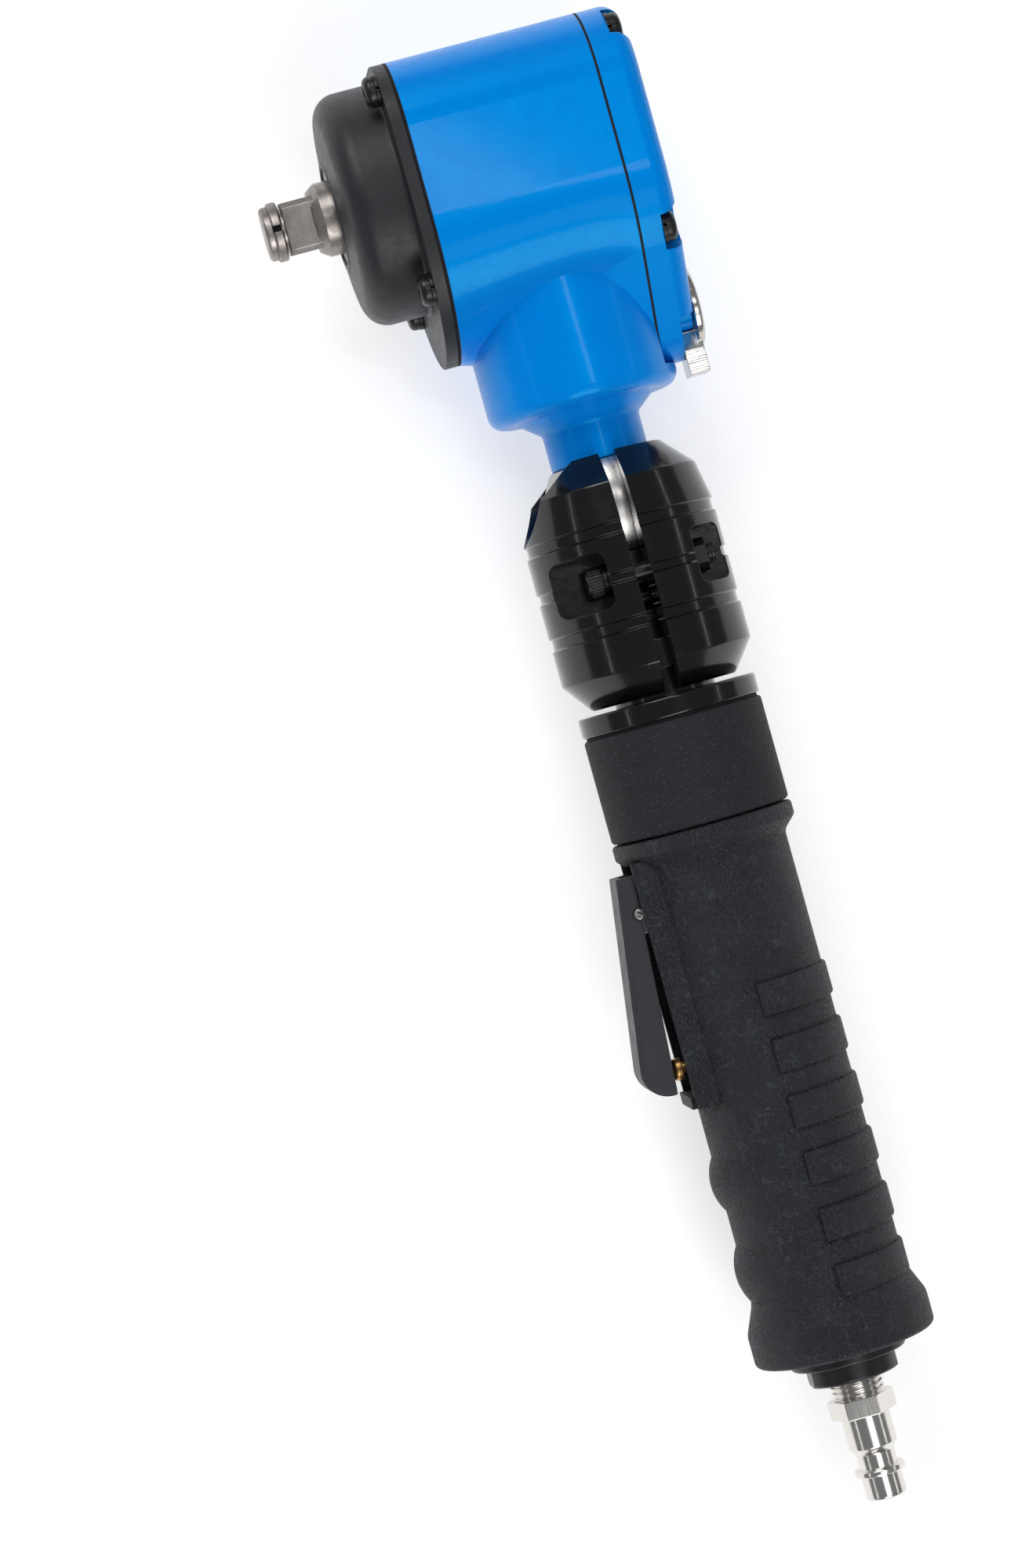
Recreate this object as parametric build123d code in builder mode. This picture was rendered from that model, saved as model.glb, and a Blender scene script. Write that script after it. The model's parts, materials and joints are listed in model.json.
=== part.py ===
"""Compact air impact wrench on a straight lever handle.

The impact head stands on a steel ball held in a split clamp, so that it tilts and swivels on the handle.
Frame: +X runs down the handle to the air plug, the square drive points to -Y, and +Z is up as the tool
lies on its side. The origin is the centre of the square drive's end face. Millimetres.
"""
import os
from math import asin, cos, pi, radians, sin, sqrt

from build123d import *

os.makedirs("parts", exist_ok=True)

# ---------------------------------------------------------------- driving dimensions
HANDLE_Y = 63.4            # the handle, neck and clamp share this axis, parallel to X

SQUARE = 12.7              # half-inch square drive
ANVIL_R = 8.95             # round anvil shank
FIT = 0.05                 # radial play of a running fit
GAP = 0.3                  # play between faces that only pass each other

CASE_R = 28.3              # hammer case
CASE_FRONT = 17.2
CASE_FLANGE = 33.3         # front of the case flange
GASKET_FRONT = 36.5        # front gasket lies between the case flange and the housing
HOUSING_FRONT = 37.0
HOUSING_REAR = 83.0
COVER_FRONT = 83.6
COVER_REAR = 93.4
HEAD_TOP = -30.0
HEAD_HALF_WIDTH = 32.3
TOP_CORNER = 18.0
BELLY_X = 9.6              # centre of the wide arc of the head's outline
FRONT_NOSE = (20.2, 21.9)  # centre and radius of the lower arc at the front
REAR_NOSE = (42.5, 12.5)   # the same at the back, round the selector
COVER_BOTTOM = sum(REAR_NOSE)
WALL_BORE = 26.2           # clutch bore
MOTOR_BORE = 24.5
MOTOR_FRONT = 53.6

SCREW_SPOTS = [(-22.8, 24.6), (-22.8, -24.6), (25.2, 24.6), (25.2, -24.6)]
SCREW_R = 2.0
SCREW_HEAD_R = 3.7
WASHER_R = 3.9
WASHER_T = 0.9

BOSS_R = 23.5              # round boss under the housing
BOSS_END = 59.8
NECK_R = 12.0
NECK_END = 73.0

BALL_X = 83.0
BALL_R = 16.0
BALL_STEM_R = 8.0

CLAMP_TOP = 71.9
CLAMP_END = 130.6
CLAMP_R = 23.5
SPLIT = 4.0                # gap between the two clamp shells
CLAMP_SCREW_X = 101.4
CLAMP_SCREW_Z = 13.2
CLAMP_HEAD_R = 3.5
POCKET_LENGTH = 13.8
POCKET_FLOOR = 9.2
FRONT_SEAT = -7.9          # where the clamp screw heads bear, from the split plane
REAR_SEAT = 13.6           # where the clamp nuts bear

COLLAR_X = 131.7
COLLAR_R = 22.0
SLEEVE_X = 137.3
SLEEVE_END = 163.0
CORE_R = 13.5
CORE_END = 294.0

GRIP_X = 163.4
GRIP_R = 19.1
GRIP_FLANGE_R = 22.3
PAD_FIRST = 202.8
PAD_PITCH = 13.85
PAD_LENGTH = 8.2
PAD_COUNT = 6

PIVOT_X = 180.1            # lever pivot
PIVOT_Y = -21.0            # from the handle axis
PIVOT_R = 1.3
LEVER_TOP = 170.8
LEVER_END = 224.1
LEVER_HALF_WIDTH = 8.5
LEVER_FLOOR = -17.6        # floor of the lever channel, from the handle axis
LEVER_CORNER = (LEVER_END, -32.0)
VALVE_X = 219.0
VALVE_BORE = 4.45

SELECTOR_X = 42.5
SELECTOR_R = 9.9
SPOOL_R = 4.0             # the selector's valve spool

DRIVE_AXIS = Axis.Y
HANDLE_AXIS = Axis((0, HANDLE_Y, 0), (1, 0, 0))


# ---------------------------------------------------------------- small helpers
def across(y):
    """The plane square to the drive axis at y; it faces +Y."""
    return Plane(origin=(0, y, 0), x_dir=(1, 0, 0), z_dir=(0, 1, 0))


def along(x):
    """The plane square to the handle axis at x, centred on it; it faces +X."""
    return Plane(origin=(x, HANDLE_Y, 0), x_dir=(0, 1, 0), z_dir=(1, 0, 0))


def side(z):
    """The plane parallel to XY at z, centred on the handle axis."""
    return Plane(origin=(0, HANDLE_Y, z), x_dir=(1, 0, 0), z_dir=(0, 0, 1))


def turn(points, axis, rounds, mode):
    """Revolves a closed profile of the XY plane, with some of its corners rounded."""
    with BuildSketch(Plane.XY) as profile:
        with BuildLine():
            Polyline(*points, close=True)
        make_face()
        for index, radius in rounds.items():
            corner = profile.vertices().sort_by_distance(Vector(*points[index], 0))[0]
            fillet(corner, radius=radius)
    revolve(profile.sketch, axis=axis, mode=mode)


def turn_drive(stations, rounds={}, mode=Mode.ADD):
    """Turns a closed list of (y, radius) about the drive axis."""
    turn([(radius, y) for y, radius in stations], DRIVE_AXIS, rounds, mode)


def turn_handle(stations, rounds={}, mode=Mode.ADD):
    """Turns a closed list of (x, radius) about the handle axis."""
    turn([(x, HANDLE_Y + radius) for x, radius in stations], HANDLE_AXIS, rounds, mode)


def rod_y(radius, start, end, x=0.0, z=0.0, mode=Mode.ADD):
    """A round bar parallel to Y."""
    with Locations((x, (start + end) / 2, z)):
        Cylinder(radius, end - start, rotation=(90, 0, 0), mode=mode)


def rod_x(radius, start, end, y=HANDLE_Y, z=0.0, mode=Mode.ADD):
    """A round bar parallel to X."""
    with Locations(((start + end) / 2, y, z)):
        Cylinder(radius, end - start, rotation=(0, 90, 0), mode=mode)


def block(x, y, z, mode=Mode.ADD):
    """A block between the given (low, high) pairs."""
    with Locations((sum(x) / 2, sum(y) / 2, sum(z) / 2)):
        Box(x[1] - x[0], y[1] - y[0], z[1] - z[0], mode=mode)


def head_outline(y, nose):
    """The egg-shaped outline of the head at y: a wide arc and a smaller lower one, joined by tangents."""
    nose_x, nose_r = nose
    slant = asin((HEAD_HALF_WIDTH - nose_r) / (nose_x - BELLY_X))
    belly = (BELLY_X + HEAD_HALF_WIDTH * sin(slant), HEAD_HALF_WIDTH * cos(slant))
    chin = (nose_x + nose_r * sin(slant), nose_r * cos(slant))
    half = (BELLY_X + HEAD_HALF_WIDTH * sin(slant / 2), HEAD_HALF_WIDTH * cos(slant / 2))
    with BuildSketch(across(y)) as outline:
        with BuildLine():
            Line((HEAD_TOP, -HEAD_HALF_WIDTH), (HEAD_TOP, HEAD_HALF_WIDTH))
            for way in (-1, 1):
                Line((HEAD_TOP, way * HEAD_HALF_WIDTH), (BELLY_X, way * HEAD_HALF_WIDTH))
                ThreePointArc((BELLY_X, way * HEAD_HALF_WIDTH), (half[0], way * half[1]),
                              (belly[0], way * belly[1]))
                Line((belly[0], way * belly[1]), (chin[0], way * chin[1]))
            ThreePointArc((chin[0], chin[1]), (nose_x + nose_r, 0), (chin[0], -chin[1]))
        make_face()
        fillet(outline.vertices().group_by(Axis.X)[0], radius=TOP_CORNER)
    return outline.sketch


def screw_holes(radius, start, end):
    """The four corner holes of the head."""
    for x, z in SCREW_SPOTS:
        rod_y(radius, start, end, x, z, mode=Mode.SUBTRACT)


# ---------------------------------------------------------------- hammer case and its bush
BUSH_R = 12.0
BUSH_END = 30.0
with BuildPart() as hammer_case:
    dome = [
        (CASE_FRONT, 0),
        (CASE_FRONT, 13.6),
        (CASE_FRONT + 0.25, 13.9),
        (CASE_FRONT + 1.7, CASE_R),
        (CASE_FLANGE + 1, CASE_R),
        (CASE_FLANGE + 1, 0),
    ]
    turn_drive(dome, {3: 6.0})
    extrude(head_outline(CASE_FLANGE, FRONT_NOSE), amount=GASKET_FRONT - CASE_FLANGE)
    rim = hammer_case.edges().filter_by(GeomType.CIRCLE).filter_by(
        lambda edge: abs(edge.radius - CASE_R) < 0.01 and abs(edge.center().Y - CASE_FLANGE) < 0.01
    )
    fillet(rim, radius=0.8)
    outer_rim = hammer_case.faces().sort_by(Axis.Y)[-1].edges()
    fillet(outer_rim, radius=0.4)
    for x, z in SCREW_SPOTS:
        rod_y(WASHER_R + 0.2, CASE_FLANGE - 6, CASE_FLANGE, x, z, mode=Mode.SUBTRACT)
    cavity = [
        (22.0, 14.6),
        (22.0, 23.4),
        (24.8, WALL_BORE),
        (GASKET_FRONT, WALL_BORE),
        (GASKET_FRONT, 0),
        (BUSH_END, 0),
        (BUSH_END, 14.6),
    ]
    turn_drive(cavity, mode=Mode.SUBTRACT)
    rod_y(BUSH_R, CASE_FRONT, BUSH_END, mode=Mode.SUBTRACT)
    screw_holes(SCREW_R + 0.2, CASE_FLANGE, GASKET_FRONT)
hammer_case.part.label = "hammer_case"
export_step(hammer_case.part, "parts/hammer_case.step")

with BuildPart() as anvil_bush:
    turn_drive([(CASE_FRONT + 0.4, ANVIL_R + FIT), (CASE_FRONT + 0.4, BUSH_R), (BUSH_END, BUSH_R),
                (BUSH_END, ANVIL_R + FIT)])
anvil_bush.part.label = "anvil_bush"
export_step(anvil_bush.part, "parts/anvil_bush.step")

# ---------------------------------------------------------------- motor housing with its boss and neck
SNAP_X = 54.0
PORT_Y = 73.0              # ports from the selector to the motor
with BuildPart() as motor_housing:
    loft([head_outline(HOUSING_FRONT, FRONT_NOSE), head_outline(HOUSING_REAR, REAR_NOSE)])
    column = [
        (20.0, 0),
        (20.0, BOSS_R),
        (BOSS_END, BOSS_R),
        (BOSS_END, 17.0),
        (BOSS_END + 4.0, NECK_R),
        (NECK_END, NECK_R),
        (NECK_END, 0),
    ]
    turn_handle(column, {2: 3.6, 3: 1.5, 4: 1.5, 5: 0.4})
    block((0, COVER_BOTTOM + GAP), (HOUSING_REAR, HOUSING_REAR + 5), (-30, 30), mode=Mode.SUBTRACT)
    rod_y(WALL_BORE, HOUSING_FRONT, MOTOR_FRONT, mode=Mode.SUBTRACT)
    rod_y(MOTOR_BORE, MOTOR_FRONT, HOUSING_REAR, mode=Mode.SUBTRACT)
    rod_x(BALL_STEM_R + FIT, 50.0, NECK_END, mode=Mode.SUBTRACT)
    rod_x(BALL_STEM_R + 0.7, SNAP_X, SNAP_X + 1.3, mode=Mode.SUBTRACT)
    rod_x(5.0, SELECTOR_X, 50.5, mode=Mode.SUBTRACT)
    rod_y(SPOOL_R + GAP, 67.0, HOUSING_REAR, SELECTOR_X, mode=Mode.SUBTRACT)
    for z in (-2.2, 2.2):
        rod_x(1.6, 22.0, SELECTOR_X, PORT_Y, z, mode=Mode.SUBTRACT)
    screw_holes(SCREW_R, HOUSING_FRONT, HOUSING_FRONT + 13)
    screw_holes(SCREW_R, HOUSING_REAR - 13, HOUSING_REAR)
motor_housing.part.label = "motor_housing"
export_step(motor_housing.part, "parts/motor_housing.step")

with BuildPart() as front_gasket:
    extrude(head_outline(GASKET_FRONT, FRONT_NOSE), amount=HOUSING_FRONT - GASKET_FRONT)
    rod_y(WALL_BORE, GASKET_FRONT, HOUSING_FRONT, mode=Mode.SUBTRACT)
    screw_holes(SCREW_R + 0.2, GASKET_FRONT, HOUSING_FRONT)
front_gasket.part.label = "front_gasket"
export_step(front_gasket.part, "parts/front_gasket.step")

with BuildPart() as rear_gasket:
    extrude(head_outline(HOUSING_REAR, REAR_NOSE), amount=COVER_FRONT - HOUSING_REAR)
    rod_y(MOTOR_BORE, HOUSING_REAR, COVER_FRONT, mode=Mode.SUBTRACT)
    rod_y(SPOOL_R + GAP, HOUSING_REAR, COVER_FRONT, SELECTOR_X, mode=Mode.SUBTRACT)
    screw_holes(SCREW_R + 0.2, HOUSING_REAR, COVER_FRONT)
rear_gasket.part.label = "rear_gasket"
export_step(rear_gasket.part, "parts/rear_gasket.step")

# ---------------------------------------------------------------- rear cover
REAR_SEAT_Y = 88.8         # floor of the screw recesses
TAIL_FLOOR = 89.2          # floor of the recess that the selector's tail sweeps over
PILLAR_R = 6.1             # the cover stands round the spool inside that recess
with BuildPart() as rear_cover:
    extrude(head_outline(COVER_FRONT, REAR_NOSE), amount=COVER_REAR - COVER_FRONT)
    fillet(rear_cover.faces().sort_by(Axis.Y)[-1].edges(), radius=4.2)
    rod_y(12.0, COVER_FRONT, COVER_FRONT + 3, mode=Mode.SUBTRACT)
    with BuildSketch(across(TAIL_FLOOR)) as sweep_room:
        with Locations((SELECTOR_X + 12.5, 0)):
            RectangleRounded(20, 27, 3)
        with Locations((SELECTOR_X, 0)):
            Circle(PILLAR_R, mode=Mode.SUBTRACT)
    extrude(sweep_room.sketch, amount=COVER_REAR - TAIL_FLOOR + 1, mode=Mode.SUBTRACT)
    rod_y(SPOOL_R + GAP, COVER_FRONT, COVER_REAR, SELECTOR_X, mode=Mode.SUBTRACT)
    for x, z in SCREW_SPOTS:
        with BuildSketch(across(REAR_SEAT_Y)) as recess:
            with Locations((x, -z)):
                Circle(5.4)
            with Locations((x + (4 if x > 0 else -4), -z - (4 if z > 0 else -4))):
                Rectangle(8, 8)
        extrude(recess.sketch, amount=COVER_REAR - REAR_SEAT_Y + 1, mode=Mode.SUBTRACT)
    screw_holes(SCREW_R + 0.2, COVER_FRONT, COVER_REAR)
rear_cover.part.label = "rear_cover"
export_step(rear_cover.part, "parts/rear_cover.step")


# ---------------------------------------------------------------- head screws and split washers
def head_screws(screws, seat, way):
    """Four button-head hex screws; way is the direction that the heads face, along Y."""
    crown = seat + way * (WASHER_T + 2.6)
    for x, z in SCREW_SPOTS:
        base = seat + way * WASHER_T
        ends = sorted((base, base - way * 15))
        rod_y(SCREW_R, ends[0], ends[1], x, z)
        top = sorted((base, base + way * 2.6))
        rod_y(SCREW_HEAD_R, top[0], top[1], x, z)
    fillet(screws.edges().filter_by(lambda edge: abs(edge.center().Y - crown) < 0.01), radius=1.5)
    for x, z in SCREW_SPOTS:
        with BuildSketch(across(crown)) as socket:
            with Locations((x, -z)):
                RegularPolygon(1.25, 6, major_radius=False)
        extrude(socket.sketch, amount=-way * 1.8, mode=Mode.SUBTRACT)


def split_washers(seat, way):
    """Four spring washers, each cut through at one place."""
    for x, z in SCREW_SPOTS:
        ends = sorted((seat, seat + way * WASHER_T))
        rod_y(WASHER_R, ends[0], ends[1], x, z)
        rod_y(SCREW_R + 0.15, ends[0], ends[1], x, z, mode=Mode.SUBTRACT)
        block((x - 0.35, x + 0.35), (ends[0], ends[1]), (z, z + WASHER_R + 1), mode=Mode.SUBTRACT)


with BuildPart() as front_screws:
    head_screws(front_screws, CASE_FLANGE, -1)
front_screws.part.label = "front_screws"
export_step(front_screws.part, "parts/front_screws.step")

with BuildPart() as front_washers:
    split_washers(CASE_FLANGE, -1)
front_washers.part.label = "front_washers"
export_step(front_washers.part, "parts/front_washers.step")

with BuildPart() as rear_screws:
    head_screws(rear_screws, REAR_SEAT_Y, 1)
rear_screws.part.label = "rear_screws"
export_step(rear_screws.part, "parts/rear_screws.step")

with BuildPart() as rear_washers:
    split_washers(REAR_SEAT_Y, 1)
rear_washers.part.label = "rear_washers"
export_step(rear_washers.part, "parts/rear_washers.step")

# ---------------------------------------------------------------- vane motor
PLATE_T = 5.2
CYLINDER_FRONT = MOTOR_FRONT + PLATE_T
CYLINDER_REAR = 76.6
ROTOR_R = 17.9
ECCENTRIC = 1.8            # the cylinder bore stands off the rotor axis by this much
FRONT_SHAFT_R = 6.0
REAR_SHAFT_R = 4.0
FRONT_BEARING_R = 11.0
REAR_BEARING_R = 9.5
BEARING_T = 4.0
VANES = 6
VANE_T = 1.5
VANE_FOOT = 10.0

with BuildPart() as front_end_plate:
    rod_y(MOTOR_BORE - FIT, MOTOR_FRONT, CYLINDER_FRONT)
    rod_y(FRONT_SHAFT_R + GAP, MOTOR_FRONT, CYLINDER_FRONT, mode=Mode.SUBTRACT)
    rod_y(FRONT_BEARING_R, MOTOR_FRONT, MOTOR_FRONT + BEARING_T, mode=Mode.SUBTRACT)
front_end_plate.part.label = "front_end_plate"
export_step(front_end_plate.part, "parts/front_end_plate.step")

with BuildPart() as motor_cylinder:
    rod_y(MOTOR_BORE - FIT, CYLINDER_FRONT, CYLINDER_REAR)
    rod_y(ROTOR_R + GAP + ECCENTRIC, CYLINDER_FRONT, CYLINDER_REAR, x=-ECCENTRIC, mode=Mode.SUBTRACT)
    for z in (-2.2, 2.2):
        rod_x(1.6, 10.0, MOTOR_BORE, PORT_Y, z, mode=Mode.SUBTRACT)
motor_cylinder.part.label = "motor_cylinder"
export_step(motor_cylinder.part, "parts/motor_cylinder.step")

with BuildPart() as rear_end_plate:
    rod_y(MOTOR_BORE - FIT, CYLINDER_REAR, HOUSING_REAR)
    rod_y(REAR_SHAFT_R + GAP, CYLINDER_REAR, HOUSING_REAR, mode=Mode.SUBTRACT)
    rod_y(REAR_BEARING_R, HOUSING_REAR - BEARING_T, HOUSING_REAR, mode=Mode.SUBTRACT)
rear_end_plate.part.label = "rear_end_plate"
export_step(rear_end_plate.part, "parts/rear_end_plate.step")


def ball_bearing(start, bore, outer, balls):
    """Two rings with balls between them, all as separate solids."""
    race = (outer - bore) * 0.27
    rod_y(bore + race, start, start + BEARING_T)
    rod_y(bore, start, start + BEARING_T, mode=Mode.SUBTRACT)
    turn_drive([(start, outer - race), (start, outer), (start + BEARING_T, outer),
                (start + BEARING_T, outer - race)])
    middle = (bore + outer) / 2
    for index in range(balls):
        turned = 2 * pi * index / balls
        with Locations((middle * cos(turned), start + BEARING_T / 2, middle * sin(turned))):
            Sphere((outer - bore) * 0.22)


with BuildPart() as front_bearing:
    ball_bearing(MOTOR_FRONT, FRONT_SHAFT_R + 0.02, FRONT_BEARING_R, 12)
front_bearing.part.label = "front_bearing"
export_step(front_bearing.part, "parts/front_bearing.step")

with BuildPart() as rear_bearing:
    ball_bearing(HOUSING_REAR - BEARING_T, REAR_SHAFT_R + 0.02, REAR_BEARING_R, 9)
rear_bearing.part.label = "rear_bearing"
export_step(rear_bearing.part, "parts/rear_bearing.step")

CAGE_REAR = 53.2
with BuildPart() as rotor:
    rod_y(ROTOR_R, CYLINDER_FRONT + GAP, CYLINDER_REAR - GAP)
    rod_y(FRONT_SHAFT_R, CAGE_REAR - 3.5, CYLINDER_FRONT + GAP)
    rod_y(REAR_SHAFT_R, CYLINDER_REAR - GAP, HOUSING_REAR + 1)
    for index in range(VANES):
        with BuildSketch(across(CYLINDER_FRONT + GAP)) as slot:
            with Locations(Rotation(0, 0, 360 * index / VANES)):
                with Locations(((VANE_FOOT + ROTOR_R + 1) / 2, 0)):
                    Rectangle(ROTOR_R + 1 - VANE_FOOT, VANE_T + 0.1)
        extrude(slot.sketch, amount=CYLINDER_REAR - CYLINDER_FRONT - 2 * GAP, mode=Mode.SUBTRACT)
rotor.part.label = "rotor"
export_step(rotor.part, "parts/rotor.step")

with BuildPart() as rotor_vanes:
    for index in range(VANES):
        with BuildSketch(across(CYLINDER_FRONT + 2 * GAP)) as vane:
            with Locations(Rotation(0, 0, 360 * index / VANES)):
                with Locations(((VANE_FOOT + ROTOR_R) / 2 + 0.05, 0)):
                    Rectangle(ROTOR_R - VANE_FOOT - 0.2, VANE_T)
        extrude(vane.sketch, amount=CYLINDER_REAR - CYLINDER_FRONT - 4 * GAP)
rotor_vanes.part.label = "rotor_vanes"
export_step(rotor_vanes.part, "parts/rotor_vanes.step")

# ---------------------------------------------------------------- hammer clutch
CAGE_R = 24.6
CAGE_FRONT = 33.0
CAGE_FRONT_T = 3.4
CAGE_REAR_T = 3.6
HAMMER_FRONT = CAGE_FRONT + CAGE_FRONT_T + 0.2
HAMMER_REAR = CAGE_REAR - CAGE_REAR_T - 0.2
HAMMER_R = 20.6
HAMMER_BORE = 14.4
JAW_R = 13.9
PIN_R = 3.0
PIN_SPOT = 21.0

with BuildPart() as hammer_cage:
    rod_y(CAGE_R, CAGE_FRONT, CAGE_FRONT + CAGE_FRONT_T)
    rod_y(CAGE_R, CAGE_REAR - CAGE_REAR_T, CAGE_REAR)
    for way in (-1, 1):
        with BuildSketch(across(CAGE_FRONT)) as bridge:
            Circle(CAGE_R)
            Circle(HAMMER_R + 0.4, mode=Mode.SUBTRACT)
            with Locations((way * CAGE_R, 0)):
                Rectangle(1.2 * CAGE_R, 1.3 * CAGE_R, mode=Mode.INTERSECT)
        extrude(bridge.sketch, amount=CAGE_REAR - CAGE_FRONT)
    rod_y(10.6, CAGE_FRONT, CAGE_FRONT + CAGE_FRONT_T, mode=Mode.SUBTRACT)
    rod_y(FRONT_SHAFT_R + 0.02, CAGE_REAR - CAGE_REAR_T, CAGE_REAR, mode=Mode.SUBTRACT)
    for z in (-PIN_SPOT, PIN_SPOT):
        rod_y(PIN_R, CAGE_FRONT, CAGE_REAR, 0, z, mode=Mode.SUBTRACT)
hammer_cage.part.label = "hammer_cage"
export_step(hammer_cage.part, "parts/hammer_cage.step")

with BuildPart() as hammer:
    rod_y(HAMMER_R, HAMMER_FRONT, HAMMER_REAR)
    rod_y(HAMMER_BORE, HAMMER_FRONT, HAMMER_REAR, mode=Mode.SUBTRACT)
    with BuildSketch(across(HAMMER_FRONT)) as dog:
        Circle(HAMMER_BORE + 1)
        Circle(10.2, mode=Mode.SUBTRACT)
        with Locations((-HAMMER_BORE, 0)):
            Rectangle(14.0, 9.0, mode=Mode.INTERSECT)
    extrude(dog.sketch, amount=HAMMER_REAR - HAMMER_FRONT)
    for z in (-PIN_SPOT, PIN_SPOT):
        rod_y(PIN_R + 0.1, HAMMER_FRONT, HAMMER_REAR, 0, z, mode=Mode.SUBTRACT)
hammer.part.label = "hammer"
export_step(hammer.part, "parts/hammer.step")

with BuildPart() as hammer_pins:
    for z in (-PIN_SPOT, PIN_SPOT):
        rod_y(PIN_R, CAGE_FRONT + 0.2, CAGE_REAR - 0.2, 0, z)
hammer_pins.part.label = "hammer_pins"
export_step(hammer_pins.part, "parts/hammer_pins.step")

# ---------------------------------------------------------------- anvil with its friction ring
SQUARE_FRONT = 5.0
SQUARE_REAR = 12.0
SQUARE_TWIST = 7.0
RING_FRONT = 1.9
RING_REAR = 4.3
RING_R = 7.2
GROOVE_R = 5.3
with BuildPart() as anvil:
    shank = [
        (0, 0),
        (0, 6.0),
        (0.55, 6.55),
        (RING_FRONT, 6.55),
        (RING_FRONT, GROOVE_R),
        (SQUARE_FRONT, GROOVE_R),
        (SQUARE_FRONT, 0),
    ]
    turn_drive(shank)
    with BuildSketch(across(SQUARE_FRONT)) as drive:
        with Locations(Rotation(0, 0, SQUARE_TWIST)):
            Rectangle(SQUARE, SQUARE)
        chamfer(drive.vertices(), length=1.3)
    extrude(drive.sketch, amount=SQUARE_REAR - SQUARE_FRONT + 3)
    body = [
        (SQUARE_REAR, 0),
        (SQUARE_REAR, 7.4),
        (SQUARE_REAR + 2.2, ANVIL_R),
        (BUSH_END + GAP, ANVIL_R),
        (BUSH_END + GAP, 11.0),
        (BUSH_END + 2.2, 11.0),
        (BUSH_END + 2.2, 9.8),
        (HAMMER_REAR - 0.4, 9.8),
        (HAMMER_REAR - 0.4, 0),
    ]
    turn_drive(body)
    with BuildSketch(across(HAMMER_FRONT + 0.4)) as jaw:
        Circle(JAW_R)
        with Locations((JAW_R, 0)):
            Rectangle(16.0, 9.0, mode=Mode.INTERSECT)
    extrude(jaw.sketch, amount=HAMMER_REAR - HAMMER_FRONT - 0.8)
anvil.part.label = "anvil"
export_step(anvil.part, "parts/anvil.step")

with BuildPart() as ring_cushion:
    turn_drive([(RING_FRONT + 0.2, GROOVE_R), (RING_FRONT + 0.2, GROOVE_R + 0.7),
                (RING_REAR - 0.2, GROOVE_R + 0.7), (RING_REAR - 0.2, GROOVE_R)])
ring_cushion.part.label = "ring_cushion"
export_step(ring_cushion.part, "parts/ring_cushion.step")

with BuildPart() as friction_ring:
    turn_drive([(RING_FRONT, GROOVE_R + 0.7), (RING_FRONT, RING_R), (RING_REAR, RING_R),
                (RING_REAR, GROOVE_R + 0.7)], {1: 0.5, 2: 0.5})
    block((-0.8, 0.8), (0, SQUARE_FRONT), (GROOVE_R, RING_R + 1), mode=Mode.SUBTRACT)
friction_ring.part.label = "friction_ring"
export_step(friction_ring.part, "parts/friction_ring.step")

# ---------------------------------------------------------------- reverse selector
SELECTOR_FACE = COVER_REAR + 0.2
DISC_T = 1.9
TAIL_END = 59.2
TAIL_ROOT_HALF = 3.0
TAIL_TIP_HALF = 4.6
RIBS = 5
with BuildPart() as reverse_selector:
    rod_y(SPOOL_R, 69.0, SELECTOR_FACE, SELECTOR_X)
    rod_y(SELECTOR_R, SELECTOR_FACE, SELECTOR_FACE + DISC_T, SELECTOR_X)
    fillet(reverse_selector.faces().sort_by(Axis.Y)[-1].edges(), radius=0.9)
    with BuildSketch(across(TAIL_FLOOR + GAP)) as tail:
        with BuildLine():
            root = SELECTOR_X + PILLAR_R + GAP
            Polyline((root, TAIL_ROOT_HALF), (TAIL_END - 6, TAIL_TIP_HALF), (TAIL_END, TAIL_TIP_HALF),
                     (TAIL_END, -TAIL_TIP_HALF), (TAIL_END - 6, -TAIL_TIP_HALF), (root, -TAIL_ROOT_HALF),
                     close=True)
        make_face()
        fillet(tail.vertices().sort_by(Axis.X)[-2:], radius=0.8)
    extrude(tail.sketch, amount=SELECTOR_FACE + 0.8 - TAIL_FLOOR - GAP)
    for index in range(RIBS):
        x = TAIL_END - 5.4 + 1.15 * index
        for way in (-1, 1):
            cut = sorted((way * (TAIL_TIP_HALF - 0.45), way * (TAIL_TIP_HALF + 1)))
            block((x - 0.28, x + 0.28), (TAIL_FLOOR, COVER_REAR + 3), cut, mode=Mode.SUBTRACT)
    rod_x(1.8, SELECTOR_X - 5, SELECTOR_X + 5, PORT_Y, 0, mode=Mode.SUBTRACT)
reverse_selector.part.label = "reverse_selector"
export_step(reverse_selector.part, "parts/reverse_selector.step")

# ---------------------------------------------------------------- ball stud, its seal and snap ring
BALL_TOP = NECK_END + 0.2
BALL_BORE = 4.5


def ball_radius_at(x, radius=BALL_R):
    """Radius of the ball's cross-section at x."""
    return sqrt(radius ** 2 - (x - BALL_X) ** 2)


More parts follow.
